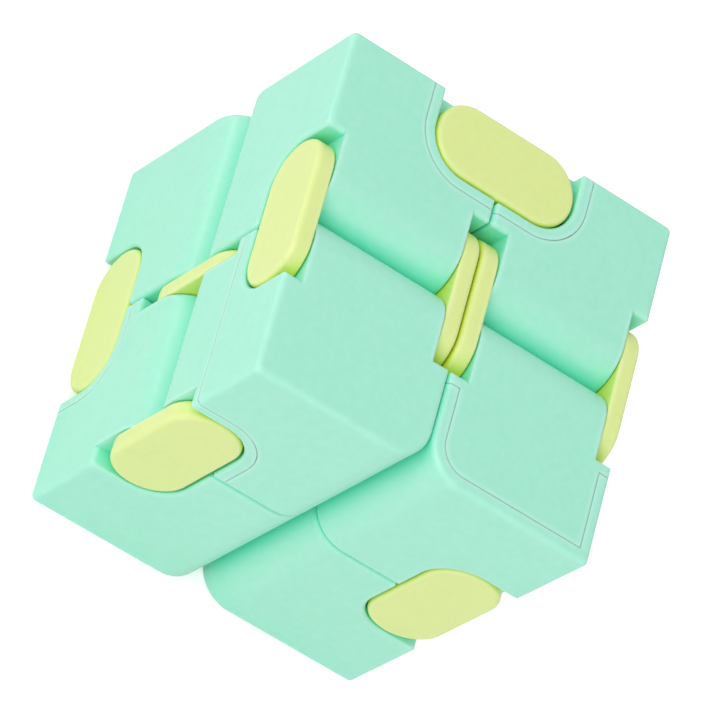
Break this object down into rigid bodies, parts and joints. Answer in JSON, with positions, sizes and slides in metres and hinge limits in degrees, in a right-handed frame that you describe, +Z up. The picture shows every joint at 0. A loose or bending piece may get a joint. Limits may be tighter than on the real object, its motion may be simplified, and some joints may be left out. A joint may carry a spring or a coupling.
{
  "type": "infinity cube fidget toy",
  "caption": "Folding desk toy: hollow cubelets joined in a closed ring by pairs of rounded link plates, so that the cube opens and turns inside out without end.",
  "frame": {"origin": "centre of the closed cube's lower face, which it stands on", "axes": "+Z up, +X to the right, -Y to the front; the spine hinges are upright on the left face and the waist hinges lie along X on the front and back faces"},
  "size_m": [0.0402, 0.0402, 0.0401],
  "materials": {
    "cubelet_plastic": "satin mint-green moulded plastic",
    "link_plastic": "satin lemon-yellow moulded plastic"
  },
  "bodies": {
    "front_upper_left": {"front_upper_left_shell": "cubelet_plastic", "front_upper_left_cover": "cubelet_plastic"},
    "front_upper_right": {"front_upper_right_shell": "cubelet_plastic", "front_upper_right_cover": "cubelet_plastic"},
    "front_lower_right": {"front_lower_right_shell": "cubelet_plastic", "front_lower_right_cover": "cubelet_plastic"},
    "front_lower_left": {"front_lower_left_shell": "cubelet_plastic", "front_lower_left_cover": "cubelet_plastic"},
    "back_upper_left": {"back_upper_left_shell": "cubelet_plastic", "back_upper_left_cover": "cubelet_plastic"},
    "back_upper_right": {"back_upper_right_shell": "cubelet_plastic", "back_upper_right_cover": "cubelet_plastic"},
    "back_lower_right": {"back_lower_right_shell": "cubelet_plastic", "back_lower_right_cover": "cubelet_plastic"},
    "back_lower_left": {"back_lower_left_shell": "cubelet_plastic", "back_lower_left_cover": "cubelet_plastic"},
    "spine_upper_links": {"spine_upper_outer_link": "link_plastic", "spine_upper_inner_link": "link_plastic"},
    "spine_lower_links": {"spine_lower_outer_link": "link_plastic", "spine_lower_inner_link": "link_plastic"},
    "front_waist_links": {"front_waist_outer_link": "link_plastic", "front_waist_inner_link": "link_plastic"},
    "back_waist_links": {"back_waist_outer_link": "link_plastic", "back_waist_inner_link": "link_plastic"},
    "top_front_links": {"top_front_outer_link": "link_plastic", "top_front_inner_link": "link_plastic"},
    "top_back_links": {"top_back_outer_link": "link_plastic", "top_back_inner_link": "link_plastic"},
    "bottom_front_links": {"bottom_front_outer_link": "link_plastic", "bottom_front_inner_link": "link_plastic"},
    "bottom_back_links": {"bottom_back_outer_link": "link_plastic", "bottom_back_inner_link": "link_plastic"}
  },
  "joints": [
    {"name": "spine_fold", "type": "hinge", "parent": "front_upper_left", "child": "spine_upper_links", "pos_m": [-0.0158, -0.0043, 0.0301], "axis": [0, 0, 1], "range_deg": [0, 90]},
    {"name": "spine_upper_far_pin", "type": "hinge", "parent": "spine_upper_links", "child": "back_upper_left", "pos_m": [-0.0158, 0.0043, 0.0301], "axis": [0, 0, 1], "range_deg": [0, 90]},
    {"name": "top_fold", "type": "hinge", "parent": "front_upper_left", "child": "top_front_links", "pos_m": [-0.0043, -0.01005, 0.03585], "axis": [0, -1, 0], "range_deg": [0, 90]},
    {"name": "top_front_far_pin", "type": "hinge", "parent": "top_front_links", "child": "front_upper_right", "pos_m": [0.0043, -0.01005, 0.03585], "axis": [0, -1, 0], "range_deg": [0, 90]},
    {"name": "top_back_near_pin", "type": "hinge", "parent": "back_upper_left", "child": "top_back_links", "pos_m": [-0.0043, 0.01005, 0.03585], "axis": [0, -1, 0], "range_deg": [0, 90]},
    {"name": "top_back_far_pin", "type": "hinge", "parent": "top_back_links", "child": "back_upper_right", "pos_m": [0.0043, 0.01005, 0.03585], "axis": [0, -1, 0], "range_deg": [0, 90]},
    {"name": "waist_fold", "type": "hinge", "parent": "back_upper_right", "child": "back_waist_links", "pos_m": [0.01005, 0.0158, 0.02435], "axis": [1, 0, 0], "range_deg": [0, 90]},
    {"name": "back_waist_far_pin", "type": "hinge", "parent": "back_waist_links", "child": "back_lower_right", "pos_m": [0.01005, 0.0158, 0.01575], "axis": [1, 0, 0], "range_deg": [0, 90]},
    {"name": "front_waist_near_pin", "type": "hinge", "parent": "front_upper_right", "child": "front_waist_links", "pos_m": [0.01005, -0.0158, 0.02435], "axis": [-1, 0, 0], "range_deg": [0, 90]},
    {"name": "bottom_fold", "type": "hinge", "parent": "back_lower_right", "child": "bottom_back_links", "pos_m": [0.0043, 0.01005, 0.00425], "axis": [0, -1, 0], "range_deg": [0, 90]},
    {"name": "bottom_back_far_pin", "type": "hinge", "parent": "bottom_back_links", "child": "back_lower_left", "pos_m": [-0.0043, 0.01005, 0.00425], "axis": [0, -1, 0], "range_deg": [0, 90]},
    {"name": "spine_lower_near_pin", "type": "hinge", "parent": "back_lower_left", "child": "spine_lower_links", "pos_m": [-0.0158, 0.0043, 0.01], "axis": [0, 0, -1], "range_deg": [0, 90]},
    {"name": "spine_lower_far_pin", "type": "hinge", "parent": "spine_lower_links", "child": "front_lower_left", "pos_m": [-0.0158, -0.0043, 0.01], "axis": [0, 0, -1], "range_deg": [0, 90]},
    {"name": "bottom_front_near_pin", "type": "hinge", "parent": "front_lower_left", "child": "bottom_front_links", "pos_m": [-0.0043, -0.01005, 0.00425], "axis": [0, 1, 0], "range_deg": [0, 90]},
    {"name": "bottom_front_far_pin", "type": "hinge", "parent": "bottom_front_links", "child": "front_lower_right", "pos_m": [0.0043, -0.01005, 0.00425], "axis": [0, 1, 0], "range_deg": [0, 90]}
  ],
  "couplings": [
    {"joint": "spine_upper_far_pin", "follows": "spine_fold", "ratio": 1},
    {"joint": "spine_lower_near_pin", "follows": "spine_fold", "ratio": 1},
    {"joint": "spine_lower_far_pin", "follows": "spine_fold", "ratio": 1},
    {"joint": "top_front_far_pin", "follows": "top_fold", "ratio": 1},
    {"joint": "top_back_near_pin", "follows": "top_fold", "ratio": 1},
    {"joint": "top_back_far_pin", "follows": "top_fold", "ratio": 1},
    {"joint": "back_waist_far_pin", "follows": "waist_fold", "ratio": 1},
    {"joint": "front_waist_near_pin", "follows": "waist_fold", "ratio": 1},
    {"joint": "bottom_back_far_pin", "follows": "bottom_fold", "ratio": 1},
    {"joint": "bottom_front_near_pin", "follows": "bottom_fold", "ratio": 1},
    {"joint": "bottom_front_far_pin", "follows": "bottom_fold", "ratio": 1}
  ]
}
